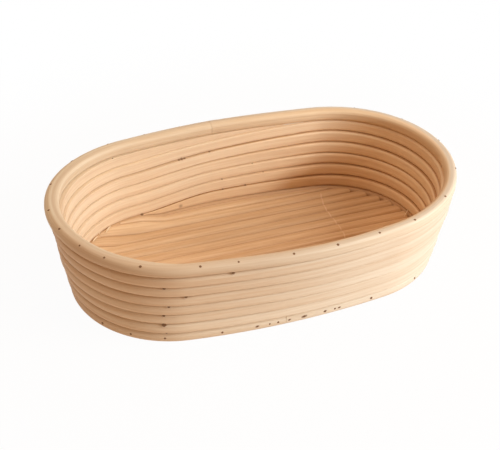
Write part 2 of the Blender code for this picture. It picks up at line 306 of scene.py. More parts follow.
# %% Node group: grain of the cane
def new_group(name, inputs, outputs):
    """Make a shader node group; gives it with the sockets inside it."""
    group = bpy.data.node_groups.new(name, "ShaderNodeTree")
    for label, kind in inputs:
        group.interface.new_socket(label, in_out="INPUT", socket_type="NodeSocket" + kind)
    for label, kind in outputs:
        group.interface.new_socket(label, in_out="OUTPUT", socket_type="NodeSocket" + kind)
    entry = group.nodes.new("NodeGroupInput")
    leave = group.nodes.new("NodeGroupOutput")
    return group, entry.outputs, leave.inputs


def stretched_noise(tree, vector, stretch, detail, spread=0.2):
    """Noise drawn out along the cane, spread over 0 to 1."""
    scaled = put(tree, "VectorMath", {0: vector, 1: stretch}, operation="MULTIPLY").outputs[0]
    noise = put(tree, "TexNoise", {"Vector": scaled, "Scale": 1.0, "Detail": detail,
                                   "Roughness": 0.6})
    return fade(tree, noise.outputs[0], 0.5 - spread, 0.5 + spread)


grain_group, come, go = new_group(
    "cane_grain", [("Cane", "Vector")],
    [("Fibre", "Float"), ("Streak", "Float"), ("Tone", "Float")])
fibre = stretched_noise(grain_group, come["Cane"], (45.0, 1500.0, 1500.0), 2.0, 0.15)
streak = stretched_noise(grain_group, come["Cane"], (10.0, 560.0, 560.0), 3.0, 0.14)
patch = stretched_noise(grain_group, come["Cane"], (6.0, 60.0, 60.0), 1.0)
drift = stretched_noise(grain_group, come["Cane"], (1.6, 0.0, 0.0), 0.0)
tone = put(grain_group, "Mix", {0: 0.55, 2: patch, 3: drift}, data_type="FLOAT").outputs[0]
for label, result in (("Fibre", fibre), ("Streak", streak), ("Tone", tone)):
    grain_group.links.new(result, go[label])
print("node group: cane_grain")

# %% [markdown]
# The finish turns the grain into a colour between pale and deep cane, and darkens the crease where
# a neighbour lies against it, a painted shade where the two canes shade each other. Which sides
# have a neighbour differs: the wall has them above and below, the floor beside it. Three numbers
# choose the sides.

# %% Node group: finish of the cane
finish_group, come, go = new_group(
    "cane_finish",
    [("Cane", "Vector"), ("Radius", "Float"), ("Pale", "Color"), ("Deep", "Color"),
     ("Crease", "Color"), ("Crease Depth", "Float"), ("Crease Start", "Float"),
     ("Above", "Float"), ("Below", "Float"), ("Beside", "Float")],
    [("Color", "Color"), ("Roughness", "Float"), ("Height", "Float")])
grain = put(finish_group, "Group", {"Cane": come["Cane"]}, node_tree=grain_group).outputs
fine = put(finish_group, "Mix", {0: 0.35, 2: grain["Streak"], 3: grain["Fibre"]}).outputs[0]
depth = put(finish_group, "Mix", {0: 0.4, 2: fine, 3: grain["Tone"]}).outputs[0]
body = blended(finish_group, depth, come["Pale"], come["Deep"])

across = put(finish_group, "SeparateXYZ", {0: come["Cane"]}).outputs
down = work_out(finish_group, "MULTIPLY", across["Z"], -1.0)
out = work_out(finish_group, "ABSOLUTE", across["Y"])
near = work_out(finish_group, "MULTIPLY", across["Z"], come["Above"])
for side, weight in ((down, "Below"), (out, "Beside")):
    weighed = work_out(finish_group, "MULTIPLY", side, come[weight])
    near = work_out(finish_group, "MAXIMUM", near, weighed)
closeness = work_out(finish_group, "DIVIDE", near, come["Radius"])
crease = fade(finish_group, closeness, come["Crease Start"], 1.0, smooth=True)
amount = work_out(finish_group, "MULTIPLY", crease, come["Crease Depth"])
finish_group.links.new(blended(finish_group, amount, body, come["Crease"]), go["Color"])
finish_group.links.new(fade(finish_group, grain["Streak"], 0.0, 1.0, 0.50, 0.68), go["Roughness"])
finish_group.links.new(fine, go["Height"])
print("node group: cane_finish")

# %% [markdown]
# A finish is a material with the group in it. The shader itself stays in the material, where the
# export can read it, and numbers that are the same all over are set on its own sockets.

# %% Helper that makes a cane material
# The crease colour is painted shade, darkest where two canes touch.
CREASE_SHADE_BROWN = (0.42, 0.21, 0.08)


def cane_material(name, radius, pale, deep, neighbours, crease=CREASE_SHADE_BROWN):
    """A cane finish; gives the material, its tree, its shader and the group in it."""
    material = bpy.data.materials.new(name)
    material.use_nodes = True
    tree = material.node_tree
    shader = tree.nodes["Principled BSDF"]
    shader.inputs["Specular IOR Level"].default_value = 0.35
    straight = put(tree, "Attribute", attribute_name="cane")
    values = {"Cane": straight.outputs["Vector"], "Radius": radius, "Pale": (*pale, 1.0),
              "Deep": (*deep, 1.0), "Crease": (*crease, 1.0), "Crease Depth": 0.35,
              "Crease Start": 0.94}
    for side in ("Above", "Below", "Beside"):
        values[side] = 1.0 if side in neighbours else 0.0
    group = put(tree, "Group", values, node_tree=finish_group)
    bump = put(tree, "Bump", {"Strength": 0.25, "Distance": 0.15 * MM,
                              "Height": group.outputs["Height"]})
    tree.links.new(group.outputs["Color"], shader.inputs["Base Color"])
    tree.links.new(group.outputs["Roughness"], shader.inputs["Roughness"])
    tree.links.new(bump.outputs["Normal"], shader.inputs["Normal"])
    return material, tree, shader, group


def cane_parts(tree):
    """The straight cane's own coordinates: X along it, Y outward and Z up."""
    straight = put(tree, "Attribute", attribute_name="cane").outputs["Vector"]
    return put(tree, "SeparateXYZ", {0: straight}).outputs


def object_place(tree):
    """The place on the basket, in metres."""
    return put(tree, "TexCoord").outputs["Object"]


print("helper: cane_material makes a finish")

# %% [markdown]
# Small dark specks sit in the cane: knots, and dirt where a nail's point shows in a groove. They
# could be painted on a picture. A speck is a ball of dark colour at one place, so a group with a
# centre and a radius makes one, and a finish lines up as many as it needs.

# %% Node group: one speck
SPECK_COLOUR = (0.22, 0.11, 0.05)

speck_group, come, go = new_group(
    "speck", [("Color", "Color"), ("Place", "Vector"), ("Centre", "Vector"), ("Radius", "Float"),
              ("Depth", "Float")], [("Color", "Color")])
away = put(speck_group, "VectorMath", {0: come["Place"], 1: come["Centre"]}, operation="DISTANCE")
share = work_out(speck_group, "DIVIDE", away.outputs["Value"], come["Radius"])
inside = fade(speck_group, share, 0.2, 1.0, 1.0, 0.0, smooth=True)
amount = work_out(speck_group, "MULTIPLY", inside, come["Depth"])
speck_group.links.new(tinted(speck_group, amount, come["Color"], SPECK_COLOUR), go["Color"])


def add_specks(tree, colour, specks):
    """Line up specks after a colour; each is a centre, a radius and a depth."""
    place = object_place(tree)
    for centre, radius, depth in specks:
        dot = put(tree, "Group", {"Color": colour, "Place": place, "Centre": centre,
                                  "Radius": radius, "Depth": depth}, node_tree=speck_group)
        colour = dot.outputs["Color"]
    return colour


print("node group: speck")

# %% [markdown]
# The basket's colour is tinted from place to place, mostly as painted light and shade. Outside, the
# left end is browner, a painted shade on the side away from the key lamp, and the right is paler
# and less saturated, a painted highlight on the lamp's side; the right end is a little duller, the
# rim is paler at the back left, a painted light on its shaded side, and the wall is paler towards
# the ground. Inside, tints of painted light and shade make the left end duller and the shaded right
# end redder, and a brown patch low on the back wall is a painted shadow.
# A painted picture could do that, but broad fades along a few directions need no unwrapping.

# %% Helpers that fade along a direction
RIGHTWARD = (1.0, 0.0, 0.0)
BACKWARD = (0.0, 1.0, 0.0)
FORWARD = (0.0, -1.0, 0.0)
TO_BACK_LEFT = (-0.7, 0.7, 0.0)
DOWN_RIGHT = (0.33, 0.0, -0.94)


def fade_along(tree, place, direction, start, end):
    """Go from 0 to 1 between two places along a direction, in millimetres."""
    reached = put(tree, "VectorMath", {0: place, 1: direction}, operation="DOT_PRODUCT")
    return fade(tree, reached.outputs["Value"], start * MM, end * MM)


def overlap(tree, place, fades):
    """Share of a patch that lies where all of its fades have come to 1."""
    share = 1.0
    for row in fades:
        share = work_out(tree, "MULTIPLY", share, fade_along(tree, place, *row))
    return share


print("helpers: fade_along, overlap")

# %% [markdown]
# Several finishes share these tints of painted light and shade, so each set is a node group. A row
# holds a direction, the millimetres along it where the fade starts and ends, and the tint at both.
# The brown patch, a painted shadow, is where four fades overlap.

# %% Node groups: painted light and shade of the outside and the inside
# Outside: browner on the shaded left and paler on the lamp's right, a painted shade and highlight.
OUTSIDE_LIGHT_TINTS = ((RIGHTWARD, -100, 30, (0.89, 0.86, 0.84), (0.91, 1.00, 1.13)),
                 (RIGHTWARD, 75, 130, WHITE, (0.92, 0.92, 0.94)))
WALL_LIGHT_TINTS = OUTSIDE_LIGHT_TINTS + ((UP, 10, 52, (1.01, 1.05, 1.07), (0.95, 0.945, 0.925)),)
RIM_LIGHT_TINTS = OUTSIDE_LIGHT_TINTS + ((TO_BACK_LEFT, 65, 100, WHITE, (1.20, 1.36, 1.48)),)
INSIDE_LIGHT_TINTS = ((RIGHTWARD, -120, -60, (0.90, 0.92, 0.94), (1.02, 1.04, 1.05)),
                (RIGHTWARD, -20, 60, WHITE, (1.07, 1.03, 0.98)))
# A painted shadow: the edge of the right wall's cast shadow, low on the back wall.
PAINTED_SHADOW_PATCH = ((DOWN_RIGHT, -9, 4), (RIGHTWARD, 25, 50), (RIGHTWARD, 118, 64), (BACKWARD, 0, 20))
SHADOW_TINT = (0.70, 0.55, 0.40)


def tint_group(name, rows, patch=()):
    """A node group that paints light and shade into a colour by its place on the basket."""
    group, come, go = new_group(name, [("Color", "Color"), ("Place", "Vector")],
                                [("Color", "Color")])
    colour = come["Color"]
    for direction, start, end, first, second in rows:
        share = fade_along(group, come["Place"], direction, start, end)
        colour = tinted(group, 1.0, colour, blended(group, share, first, second))
    # The patch here is the painted shadow.
    if patch:
        colour = tinted(group, overlap(group, come["Place"], patch), colour, SHADOW_TINT)
    group.links.new(colour, go["Color"])
    print(f"node group: {name}")
    return group


wall_painted_light = tint_group("wall_painted_light", WALL_LIGHT_TINTS)
rim_painted_light = tint_group("rim_painted_light", RIM_LIGHT_TINTS)
inside_painted_light = tint_group("inside_painted_light", INSIDE_LIGHT_TINTS, PAINTED_SHADOW_PATCH)


def with_painted_light(tree, colour, tints):
    """A colour after one of the groups of painted light and shade."""
    light_and_shade = put(tree, "Group", {"Color": colour, "Place": object_place(tree)}, node_tree=tints)
    return light_and_shade.outputs["Color"]


# %% [markdown]
# Painted shade darkens the creases of the wall and the rim, and not everywhere alike: inside it is
# deeper towards the right, outside towards the left, the sides that lie in shade. The depth is a
# level at the middle of the basket and a slope along its length, one pair for the inner face and
# one for the outer.

# %% Node group: depth of the painted shade in the creases
crease_shade_group, come, go = new_group(
    "crease_depth",
    [("Outer", "Float"), ("Place", "Vector"), ("Inner Level", "Float"), ("Inner Slope", "Float"),
     ("Outer Level", "Float"), ("Outer Slope", "Float")], [("Depth", "Float")])
level = fade(crease_shade_group, come["Outer"], 0.0, 1.0, come["Inner Level"], come["Outer Level"])
slope = fade(crease_shade_group, come["Outer"], 0.0, 1.0, come["Inner Slope"], come["Outer Slope"])
lengthwise = put(crease_shade_group, "SeparateXYZ", {0: come["Place"]}).outputs["X"]
depth = work_out(crease_shade_group, "MULTIPLY_ADD", lengthwise, slope, level, clamp=True)
crease_shade_group.links.new(depth, go["Depth"])


def crease_depth(tree, outer, inside, outside):
    """Depth of the painted shade in the creases, from a level and a slope for each face."""
    values = {"Outer": outer, "Place": object_place(tree), "Inner Level": inside[0],
              "Inner Slope": inside[1], "Outer Level": outside[0], "Outer Slope": outside[1]}
    return put(tree, "Group", values, node_tree=crease_shade_group).outputs["Depth"]


# Level and slope of the painted crease shade on outer faces, deeper towards the shaded left.
OUTER_CREASE_SHADE = (0.22, -1.7)


print("node group: crease_depth")

# %% [markdown]
# All the canes follow one oval: two long flat arcs and two round ends. The CAD model has the same
# numbers. The oval could be a Blender curve, but a function gives a point and its outward normal
# at any distance, which is all that bending needs.

# %% The oval that the canes follow
BASE_LENGTH = 238.0 * MM
BASE_WIDTH = 132.0 * MM
SIDE_BOW = 4.0 * MM
END_RADIUS = BASE_WIDTH / 2 - SIDE_BOW
REACH = BASE_LENGTH / 2 - END_RADIUS
DROP = (REACH ** 2 - SIDE_BOW ** 2) / (2 * SIDE_BOW)
SIDE_RADIUS = BASE_WIDTH / 2 + DROP
JOINT = math.atan2(DROP, REACH)
HALF_SIDE = (math.pi / 2 - JOINT) * SIDE_RADIUS
LOOP = 4 * (HALF_SIDE + JOINT * END_RADIUS)


def oval_point(distance, offset=0.0):
    """Point and outward normal on the oval, clockwise from the middle of the back."""
    along = (distance + HALF_SIDE) % LOOP
    opposite = along >= LOOP / 2
    if opposite:
        along -= LOOP / 2
    if along < 2 * HALF_SIDE:
        angle = math.pi / 2 - (along - HALF_SIDE) / SIDE_RADIUS
        centre = Vector((0.0, -DROP, 0.0))
        radius = SIDE_RADIUS
    else:
        angle = JOINT - (along - 2 * HALF_SIDE) / END_RADIUS
        centre = Vector((REACH, 0.0, 0.0))
        radius = END_RADIUS
    normal = Vector((math.cos(angle), math.sin(angle), 0.0))
    point = centre + normal * (radius + offset)
    return (-point, -normal) if opposite else (point, normal)


def from_front(distance):
    """Distance round the oval from the middle of the front, positive to the left."""
    return distance % LOOP - LOOP / 2


print(f"oval: {LOOP / MM:.1f} mm round")

# %% [markdown]
# A cane starts as a circle, is drawn out to its length and cut into short stations, so that it
# can bend. Real cane is pressed a little square where it lies on its neighbour, so the circle is
# filled out towards its corners, which also keeps the grooves thin. A power of 2 leaves it round,
# and a higher one squares it, with one power for the inner side and one for the outer.
# The straight coordinates are stored before the bend.

# %% Helpers that make a straight cane and bend it
CANE_RADIUS = 8.05 / 2 * MM


def fill_out(angle, powers):
    """How far a section with rounded corners reaches at an angle, on a unit circle."""
    power = powers[1] if math.cos(angle) > 0 else powers[0]
    return (abs(math.cos(angle)) ** power + abs(math.sin(angle)) ** power) ** (-1 / power)


def straight_cane(start, length, stations, sides, powers, radius, grain_shift=0.0):
    """A straight cane along X, of radius 1, with its own coordinates stored for the grain."""
    shape = bmesh.new()
    stand = Matrix.Translation((start, 0.0, 0.0)) @ Matrix.Rotation(math.pi / 2, 4, "Y")
    bmesh.ops.create_circle(shape, cap_ends=True, segments=sides, radius=1.0, matrix=stand)
    drawn = bmesh.ops.extrude_face_region(shape, geom=shape.faces[:])
    tip = [part for part in drawn["geom"] if isinstance(part, bmesh.types.BMVert)]
    bmesh.ops.translate(shape, verts=tip, vec=(length, 0.0, 0.0))
    lengthwise = [edge for edge in shape.edges
                  if abs(edge.verts[0].co.x - edge.verts[1].co.x) > length / 2]
    bmesh.ops.subdivide_edges(shape, edges=lengthwise, cuts=stations - 1)
    straight = shape.verts.layers.float_vector.new("cane")
    for vert in shape.verts:
        pressed = powers(vert.co.x) if callable(powers) else powers
        reach = fill_out(math.atan2(vert.co.z, vert.co.y), pressed)
        vert.co.y *= reach
        vert.co.z *= reach
        vert[straight] = Vector((vert.co.x + grain_shift, vert.co.y * radius, vert.co.z * radius))
    return shape


def wind(shape, section_at):
    """Bend a straight cane: section_at gives centre, normal, half width and half height."""
    sections = {}
    for vert in shape.verts:
        key = round(vert.co.x, 7)
        if key not in sections:
            sections[key] = section_at(vert.co.x)
        centre, normal, half_width, half_height = sections[key]
        vert.co = centre + normal * (vert.co.y * half_width) + UP * (vert.co.z * half_height)


print(f"helpers: a cane of {2 * CANE_RADIUS / MM:.2f} mm, straight or wound")

# %% [markdown]
# Every shape ends the same way: its faces turn outwards, it becomes a mesh with one material, and
# it goes on the basket's body in place of the CAD nodes that it stands for.

# %% Helper that finishes a piece
SHARP_ANGLE = math.radians(50.0)


def finish_piece(name, shape, material, nodes):
    """Make a mesh of a shape, put it on the frame, and hide the CAD nodes that it stands for."""
    bmesh.ops.recalc_face_normals(shape, faces=shape.faces)
    mesh = bpy.data.meshes.new(name)
    shape.to_mesh(mesh)
    shape.free()
    mesh.materials.append(material)
    mesh.shade_smooth()
    mesh.set_sharp_from_angle(angle=SHARP_ANGLE)
    piece = bpy.data.objects.new(name, mesh)
    bpy.context.scene.collection.objects.link(piece)
    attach(piece, "root")
    if nodes:
        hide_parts(*nodes)
    return piece


def triangles(piece):
    """Count the triangles of a piece."""
    return sum(len(face.vertices) - 2 for face in piece.data.polygons)


print("helper: finish_piece puts a shape on the frame")

# %% [markdown]
# The wall is one cane of nearly four metres. It starts as a thin tip on the base ring at the
# back left, climbs one course in each turn, and ends as a long thin taper under the rim. Over its
# own start there is one cane more than elsewhere, and those between are pressed closer. The CAD
# model has the same stack, with a wider gap between the courses.

# %% Stack of courses in the wall
TURNS = 6
COURSE = 8.106 * MM
SEAM = 0.06 * MM
THICK = COURSE - SEAM
STACK = TURNS * COURSE
COIL_BASE = COURSE
COIL_START = -61.0 * MM
START_TAPER = 56.0 * MM
TAPER_END = 121.4 * MM
START_RISE = 3.2 * MM
START_POINT = 18.0 * MM
TAPER_TIP = 0.5 * MM
LEAD = 150.0 * MM
TIP_CLOSE = 15.0 * MM


def eased(share):
    """Go from 0 to 1 with a soft start and a soft end."""
    share = min(1.0, max(0.0, share))
    return share * share * (3.0 - 2.0 * share)


def stack_at(along):
    """Lift under the lowest cane, and the thickness of each cane from the bottom up."""
    if along <= TAPER_END:
        lift = (START_RISE - TAPER_TIP) * (1.0 - eased(along / START_POINT))
        top = START_RISE + (THICK - START_RISE) * eased(along / START_TAPER)
        thickest = THICK - (START_RISE + SEAM) / TURNS
        last = thickest + (TAPER_TIP - thickest) * along / TAPER_END
        between = (STACK - top - last - (TURNS + 1) * SEAM) / (TURNS - 1)
        return lift, [top - lift] + [between] * (TURNS - 1) + [last]
    if along < TAPER_END + TIP_CLOSE:
        spare = (TAPER_TIP + SEAM) * (1.0 - (along - TAPER_END) / TIP_CLOSE)
        return 0.0, [THICK] + [THICK - spare / (TURNS - 1)] * (TURNS - 1)
    lift = (START_RISE + SEAM) * eased(1.0 - (LOOP - along) / LEAD)
    return lift, [THICK - lift / TURNS] * TURNS


def course_heights(loop, along):
    """Lower and upper edge of the wall cane on a loop."""
    lift, canes = stack_at(along)
    below = COIL_BASE + lift + sum(canes[:loop]) + loop * SEAM
    return below, below + canes[loop]


print(f"stack: {TURNS} courses, {STACK / MM:.1f} mm high")

# %% [markdown]
# A basket wound by hand is never quite true. The wall leans out evenly in the CAD model. Here the
# front leans out more on its right and less at its left corner, and every cane wanders a little.
# Noise could do that, but humps of a known height at known places follow the real basket.

# %% Lean and unevenness of the wall
WALL_LEAN = math.radians(11.3)
LEAN_FROM = 3.83 * MM
FRONT_BULGE = (3.2, -22, 85)
CORNER_DENT = (2.2, 120, 75)
WANDER = 0.22 * MM
WAVES = (31 * MM, 73 * MM)


def wall_offset(height):
    """How far the leaning wall stands out from the base oval at a height."""
    return (height - LEAN_FROM) * math.tan(WALL_LEAN)


def hump(distance, height, middle, reach):
    """A hump on the oval, in millimetres, its middle counted from the front to the left."""
    return height * MM * eased(1.0 - abs(from_front(distance) - middle * MM) / (reach * MM))


def uneven(distance, height):
    """How far the front leans out more on its right and less at its left corner."""
    most = hump(distance, *FRONT_BULGE) - hump(distance, *CORNER_DENT)
    return most * max(0.0, height - COIL_BASE) / STACK


def wander(distance, step):
    """Small wave in and out, as no cane is wound quite true."""
    short, long = (distance / wave for wave in WAVES)
    return WANDER * (math.sin(short + step) + math.sin(long + 2 * step))


print(f"wall: leans out by {wall_offset(COIL_BASE + STACK) / MM:.1f} mm at the top")

# %% [markdown]
# Dirt and the points of nails make dark specks in the inner grooves, and a knot shows above the
# floor. Each speck needs a place in a groove, whose height the stack gives. A row holds the
# distance from the middle of the back, the loop under the groove and the speck's size.

# %% Specks in the grooves of the wall
INSIDE_SPECKS = ((-29, 4, 1.7), (-27, 4, 2.1), (-25, 4, 1.7), (-7, 4, 1.4), (23, 2, 1.1),
                 (30.5, 1, 1.1), (0.5, 1, 1.3), (0.5, 0, 1.2), (17, 0, 1.5), (-74.5, 5, 1.0),
                 (-59.5, 0, 2.2))
SPECK_INSET = 3.5 * MM
SPECK_SCALE = 0.75 * MM
SPECK_DEPTH = 0.85
KNOT_PLACE = -31.0 * MM
KNOT_HEIGHT = 10.5 * MM
KNOT_INSET = 3.2 * MM
KNOT_RADIUS = 2.2 * MM
KNOT_DEPTH = 0.5


def groove_point(distance, loop, side, out):
    """Point in the groove on top of a loop, on the inner or outer face of the wall."""
    height = course_heights(loop, (distance - COIL_START) % LOOP)[1] + SEAM / 2
    offset = wall_offset(height) + uneven(distance, height) + side * out
    point, _normal = oval_point(distance, offset)
    return point + UP * height


specks = []
for distance, loop, size in INSIDE_SPECKS:
    centre = groove_point(distance * MM, loop, -1, SPECK_INSET)
    specks.append((centre, size * SPECK_SCALE, SPECK_DEPTH))
knot, _normal = oval_point(KNOT_PLACE, wall_offset(KNOT_HEIGHT + 0.5 * MM) - KNOT_INSET)
specks.append((knot + UP * KNOT_HEIGHT, KNOT_RADIUS, KNOT_DEPTH))
print(f"wall specks: {len(specks)}")

# %% [markdown]
# The painted shade in the creases of the wall differs from groove to groove. A groove lies between
# the top of one loop and the bottom of the next, so a point on the upper half of the cane is
# counted one loop further on, and both lips of a groove then have the same number along the coil.
# Stretches of this number make the painted shade in two grooves at the back deeper and in the one
# under the rim nearly nil.
# At the coil's first tip the painted shade is darkest, and in the last turn it is half as deep.

# %% Finish of the wall: painted shade in the creases
LAST_TURN = (TURNS - 1) * LOOP
# Stretches of grooves whose painted shade is deeper or lighter.
INNER_GROOVE_SHADES = ((LAST_TURN - LOOP - 60 * MM, LAST_TURN - LOOP + 80 * MM, 0.3),
                 (LAST_TURN - 60 * MM, LAST_TURN + 75 * MM, 0.8),
                 (LAST_TURN + LOOP - 90 * MM, LAST_TURN + 3 * LOOP, -0.95))
GROOVE_FADE = 60 * MM
INNER_CREASE_SHADE = (0.42, 3.0)
FIRST_TIP_SHADE = (400 * MM, 60 * MM)
LAST_TURN_SHADE_FADE = (LAST_TURN + 60 * MM, LAST_TURN + 160 * MM)

wall_finish, tree, shader, group = cane_material(
    "wall cane", CANE_RADIUS, (0.97, 0.83, 0.63), (0.78, 0.56, 0.36), ("Above", "Below"))
cane = cane_parts(tree)
outer = fade(tree, cane["Y"], -1.0 * MM, 1.0 * MM, smooth=True)
upper = work_out(tree, "GREATER_THAN", cane["Z"], 0.0)
groove = work_out(tree, "MULTIPLY_ADD", upper, LOOP, cane["X"])
inner_depth = 1.0
for start, end, change in INNER_GROOVE_SHADES:
    stretch = work_out(tree, "MULTIPLY", fade(tree, groove, start - GROOVE_FADE, start),
                       fade(tree, groove, end + GROOVE_FADE, end))
    inner_depth = work_out(tree, "MULTIPLY_ADD", stretch, change, inner_depth)
by_face = fade(tree, outer, 0.0, 1.0, inner_depth, 1.0)
crease_shade = crease_depth(tree, outer, INNER_CREASE_SHADE, OUTER_CREASE_SHADE)
last = fade(tree, cane["X"], *LAST_TURN_SHADE_FADE, 1.0, 0.5)
lighter = work_out(tree, "MULTIPLY", work_out(tree, "MULTIPLY", crease_shade, by_face), last)
first = fade(tree, cane["X"], *FIRST_TIP_SHADE)
deepest = work_out(tree, "MAXIMUM", lighter, first, clamp=True)
tree.links.new(deepest, group.inputs["Crease Depth"])
group.inputs["Crease Start"].default_value = 0.90
print(f"wall creases: {len(INNER_GROOVE_SHADES)} grooves with a depth of their own")

# %% [markdown]
# The colour of the wall takes the inside tints of painted light and shade on its inner face and the
# outside ones on its outer face. Its first tip is a little browner.
# Near its last tip the cane is pared to a thin sliver, and its pale colour there is a painted
# highlight, the light that it catches under the rim.

# %% Finish of the wall: colour
COIL_LENGTH = TURNS * LOOP + TAPER_END
TIP_BROWN = (0.97, 0.90, 0.80)
TIP_FADE = (130 * MM, 10 * MM)
# The sliver's pale colour is a painted highlight.
SLIVER_HIGHLIGHT = (1.0, 0.92, 0.78)
SLIVER_HIGHLIGHT_FADE = (COIL_LENGTH - 16 * MM, COIL_LENGTH - 12 * MM)

toned = blended(tree, outer, with_painted_light(tree, group.outputs["Color"], inside_painted_light),
                with_painted_light(tree, group.outputs["Color"], wall_painted_light))
tip = tinted(tree, fade(tree, cane["X"], *TIP_FADE), toned, TIP_BROWN)
speckled = add_specks(tree, tip, specks)
sliver_glint = fade(tree, cane["X"], *SLIVER_HIGHLIGHT_FADE, smooth=True)
tree.links.new(blended(tree, sliver_glint, speckled, SLIVER_HIGHLIGHT), shader.inputs["Base Color"])
print("wall finish: tints, specks and a pale sliver at its end")

# %% [markdown]
# The coil could be a curve with a bevel, but its thickness changes all along and its section isn't
# round. So a straight cane is bent station by station: each station asks for its centre, its
# outward normal and its size.
# At the right end the outer face is pressed nearly flat, and the grooves all but vanish there.

# %% The wall coil
COIL_STATION = 4 * MM
COIL_SIDES = 32
LAST_LOOP_WIDTH = 0.97
FLAT_FROM = -40 * MM
FLAT_STRETCH = 130 * MM
WALL_INNER_POWERS = (11.0, 6.0)
WALL_OUTER_POWERS = (2.8, 8.0)


def between(pair, share):
    """A value between the two of a pair."""
    return pair[0] + (pair[1] - pair[0]) * share


def flatness(distance):
    """How far the outer face is pressed flat: not at the left, and fully at the right end."""
    return eased((oval_point(distance)[0].x - FLAT_FROM) / FLAT_STRETCH)


def wall_powers(distance):
    """Corners of the wall cane's section on its inner and outer side."""
    flat = flatness(COIL_START + distance)
    return between(WALL_INNER_POWERS, flat), between(WALL_OUTER_POWERS, flat)


def coil_section(distance):
    """Section of the wall cane at a distance from its first tip."""
    loop = min(int(distance / LOOP), TURNS)
    along = distance - loop * LOOP
    if loop == TURNS:
        along = min(along, TAPER_END)
    low, high = course_heights(loop, along)
    middle = (low + high) / 2
    fullness = (high - low) / THICK
    offset = wall_offset(middle) + uneven(COIL_START + along, middle)
    offset += wander(distance, 1.0) * min(1.0, fullness)
    point, normal = oval_point(COIL_START + along, offset)
    narrowing = LAST_LOOP_WIDTH if loop == TURNS else min(1.0, 0.9 + 0.2 * fullness)
    return point + UP * middle, normal, CANE_RADIUS * narrowing, (high - low) / 2


stations = round(COIL_LENGTH / COIL_STATION)
coil = straight_cane(0.0, COIL_LENGTH, stations, COIL_SIDES, wall_powers, CANE_RADIUS)
wind(coil, coil_section)
wall = finish_piece("wound_wall", coil, wall_finish, ["wall_coil"])
print(f"wound_wall: {COIL_LENGTH:.2f} m of cane, {triangles(wall)} triangles")

# %% [markdown]
# The base ring is bent round the floor until its two ends meet at the front. The butt joint shows
# as a short dark tick, so the ring is one cane with a fine gap between its ends, not a torus.
# Five of its nails have dirty smudges round them, wider than they are high: three specks in a row
# each. A row holds the nail's place in thousandths of the loop and the smudge's size. The ring's
# inner face, which only shows between the floor canes, is darker, a painted shade.

# %% Finish of the base ring
SMUDGES = ((-52, 0.75), (-36, 0.8), (-13, 1.3), (3, 0.75), (37, 0.85))
SMUDGE_STEPS = (-0.85, 0.0, 0.85)
SMUDGE_DEPTH = 0.8
SHADED_CANE = (0.64, 0.41, 0.23)


def front_distance(spot):
    """Distance along the loop of a spot, in thousandths from the middle of the front."""
    return LOOP / 2 + LOOP * spot / 1000


ring_finish, tree, shader, group = cane_material(
    "ring cane", CANE_RADIUS, (0.95, 0.80, 0.60), (0.80, 0.60, 0.40), ("Above",))
ring_painted_light = with_painted_light(tree, group.outputs["Color"], wall_painted_light)
# The inner face is painted in shade, where it shows between the floor canes.
hidden = fade(tree, cane_parts(tree)["Y"], -0.2 * MM, -1.2 * MM)
shaded = blended(tree, hidden, ring_painted_light, SHADED_CANE)
smudges = []
for spot, size in SMUDGES:
    for step in SMUDGE_STEPS:
        stain, _normal = oval_point(front_distance(spot) + step * size * MM, CANE_RADIUS)
        stain += UP * (THICK / 2 - 0.2 * step * MM)
        smudges.append((stain, size * MM, SMUDGE_DEPTH))
tree.links.new(add_specks(tree, shaded, smudges), shader.inputs["Base Color"])
print(f"ring finish: {len(SMUDGES)} smudges")

# %% [markdown]
# The ring is a straight cane again, wound once round the oval. Just before the coil's first tip it
# grows taller, so that no gap opens under the course above.

# %% Base ring
RING_JOINT = LOOP / 2 + 4.0 * MM
RING_SLIT = 0.3 * MM
RING_STATIONS = 170
RING_SIDES = 24
RING_POWERS = (2.8, 2.6)
RING_GRAIN = 7.0


def ring_section(distance):
    """Section of the base ring at a distance round the oval."""
    point, normal = oval_point(distance, 0.4 * wander(distance, 2.2))
    tall = THICK + stack_at((distance - COIL_START) % LOOP)[0]
    return point + UP * (tall / 2), normal, CANE_RADIUS, tall / 2


ring = straight_cane(RING_JOINT + RING_SLIT / 2, LOOP - RING_SLIT, RING_STATIONS, RING_SIDES,
                     RING_POWERS, CANE_RADIUS, RING_GRAIN)
wind(ring, ring_section)
base = finish_piece("bent_base_ring", ring, ring_finish, ["base_ring"])
print(f"bent_base_ring: {triangles(base)} triangles")

# %% [markdown]
# The rim hoop is a thicker cane, pressed a little flat, whose ends meet at the back.
# Its finish is that of the wall with fewer creases of painted shade, as only its underside has a
# neighbour. Its outer flank is paler towards the right, a painted highlight on the lamp's side, so
# a last tint lifts it there.

# %% Finish of the rim
RIM_HALF_WIDTH = 4.4 * MM
RIM_FACES = (-2.0 * MM, 1.5 * MM)
RIM_INNER_CREASE_SHADE = (0.0, 1.5)
FLANK_HIGHLIGHT_FADE = (0.5 * MM, 3.5 * MM)
FLANK_HIGHLIGHT = (1.12, 1.14, 1.15)

rim_finish, tree, shader, group = cane_material(
    "rim cane", RIM_HALF_WIDTH, (0.885, 0.75, 0.555), (0.69, 0.50, 0.315), ("Below",))
outward = cane_parts(tree)["Y"]
outer = fade(tree, outward, *RIM_FACES, smooth=True)
crease_shade = crease_depth(tree, outer, RIM_INNER_CREASE_SHADE, OUTER_CREASE_SHADE)
tree.links.new(crease_shade, group.inputs["Crease Depth"])
toned = blended(tree, outer, with_painted_light(tree, group.outputs["Color"], inside_painted_light),
                with_painted_light(tree, group.outputs["Color"], rim_painted_light))
